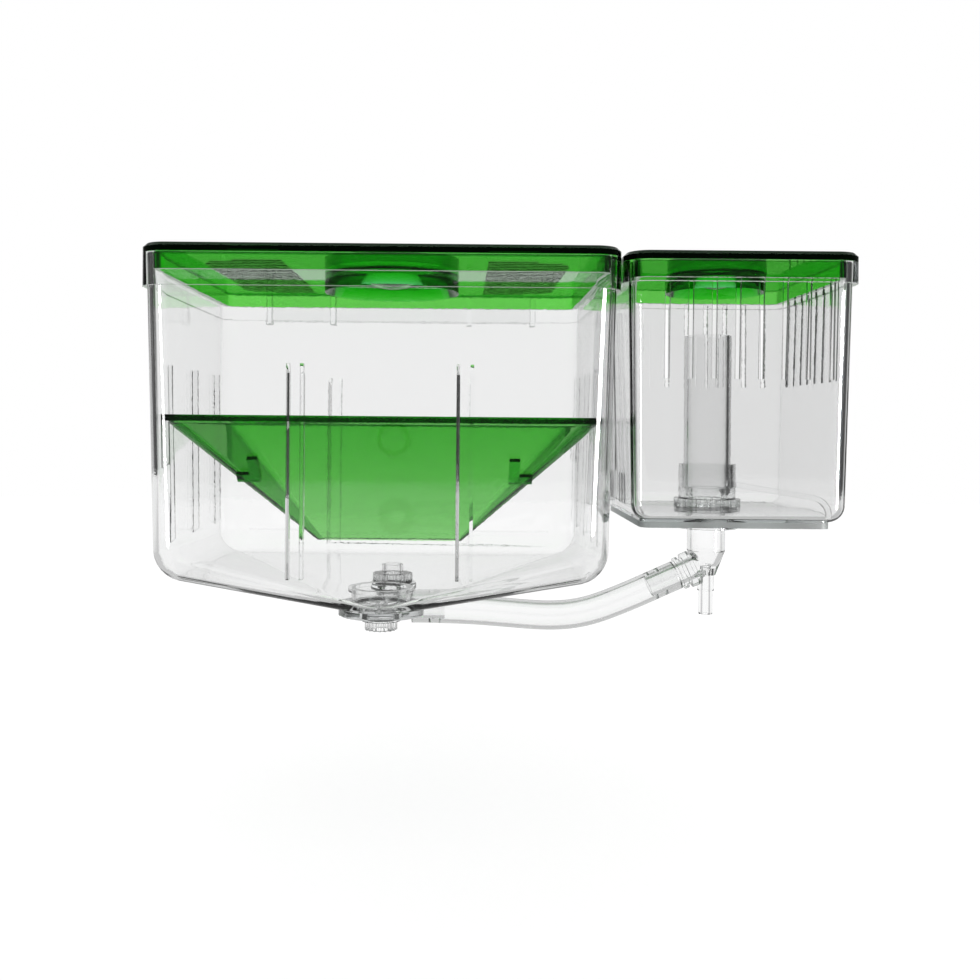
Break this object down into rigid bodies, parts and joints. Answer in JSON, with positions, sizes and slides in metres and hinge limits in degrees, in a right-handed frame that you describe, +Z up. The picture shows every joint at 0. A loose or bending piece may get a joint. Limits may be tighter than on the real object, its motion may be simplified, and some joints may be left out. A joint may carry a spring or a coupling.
{
  "type": "fish breeding box",
  "caption": "Clear hanging fish breeding box with a green lid, V-shaped spawning hopper and funnel floor, linked by a hose to a slitted filter tank with an airlift riser.",
  "frame": {"origin": "middle of the flat rear face of the hanger strap, at mid height of the breeding tank's rim", "axes": "+X from the breeding tank to the filter tank, +Y out of the rear face towards the aquarium wall that it hangs on, +Z up"},
  "size_m": [0.2481, 0.1277, 0.1392],
  "materials": {
    "clear_acrylic": "clear injection-moulded acrylic, polished",
    "green_acrylic": "transparent green injection-moulded acrylic, polished",
    "clear_hose": "clear flexible vinyl hose",
    "seal_rubber": "pale translucent silicone washer"
  },
  "bodies": {
    "tanks": {"main_tank": "clear_acrylic", "filter_tank": "clear_acrylic", "drain_elbow": "clear_acrylic", "drain_nut": "clear_acrylic", "drain_seal": "seal_rubber", "hose": "clear_hose", "airlift_elbow": "clear_acrylic", "air_nipple": "clear_acrylic", "floor_seal": "seal_rubber", "locking_nut": "clear_acrylic", "riser_collar": "clear_acrylic"},
    "main_lid": {"main_lid": "green_acrylic"},
    "feeding_cap": {"feeding_cap": "green_acrylic"},
    "spawning_hopper": {"spawning_hopper": "green_acrylic"},
    "drain_strainer": {"drain_strainer": "clear_acrylic"},
    "drain_plug": {"drain_plug": "clear_acrylic", "plug_seal": "seal_rubber"},
    "riser_tube": {"riser_tube": "clear_acrylic"},
    "filter_lid": {"filter_lid": "green_acrylic"},
    "filter_cap": {"filter_cap": "green_acrylic"}
  },
  "joints": [
    {"name": "main_lid_lift", "type": "slide", "parent": "tanks", "child": "main_lid", "axis": [0, 0, 1], "range_m": [0, 0.06]},
    {"name": "feeding_cap_lift", "type": "slide", "parent": "main_lid", "child": "feeding_cap", "axis": [0, 0, 1], "range_m": [0, 0.02]},
    {"name": "hopper_lift", "type": "slide", "parent": "tanks", "child": "spawning_hopper", "axis": [0, 0, 1], "range_m": [0, 0.045]},
    {"name": "strainer_lift", "type": "slide", "parent": "tanks", "child": "drain_strainer", "axis": [0, 0, 1], "range_m": [0, 0.025]},
    {"name": "plug_pull", "type": "slide", "parent": "tanks", "child": "drain_plug", "axis": [0, 0, -1], "range_m": [0, 0.02]},
    {"name": "riser_lift", "type": "slide", "parent": "tanks", "child": "riser_tube", "axis": [0, 0, 1], "range_m": [0, 0.012]},
    {"name": "filter_lid_lift", "type": "slide", "parent": "tanks", "child": "filter_lid", "axis": [0, 0, 1], "range_m": [0, 0.04]},
    {"name": "filter_cap_lift", "type": "slide", "parent": "filter_lid", "child": "filter_cap", "axis": [0, 0, 1], "range_m": [0, 0.015]}
  ]
}
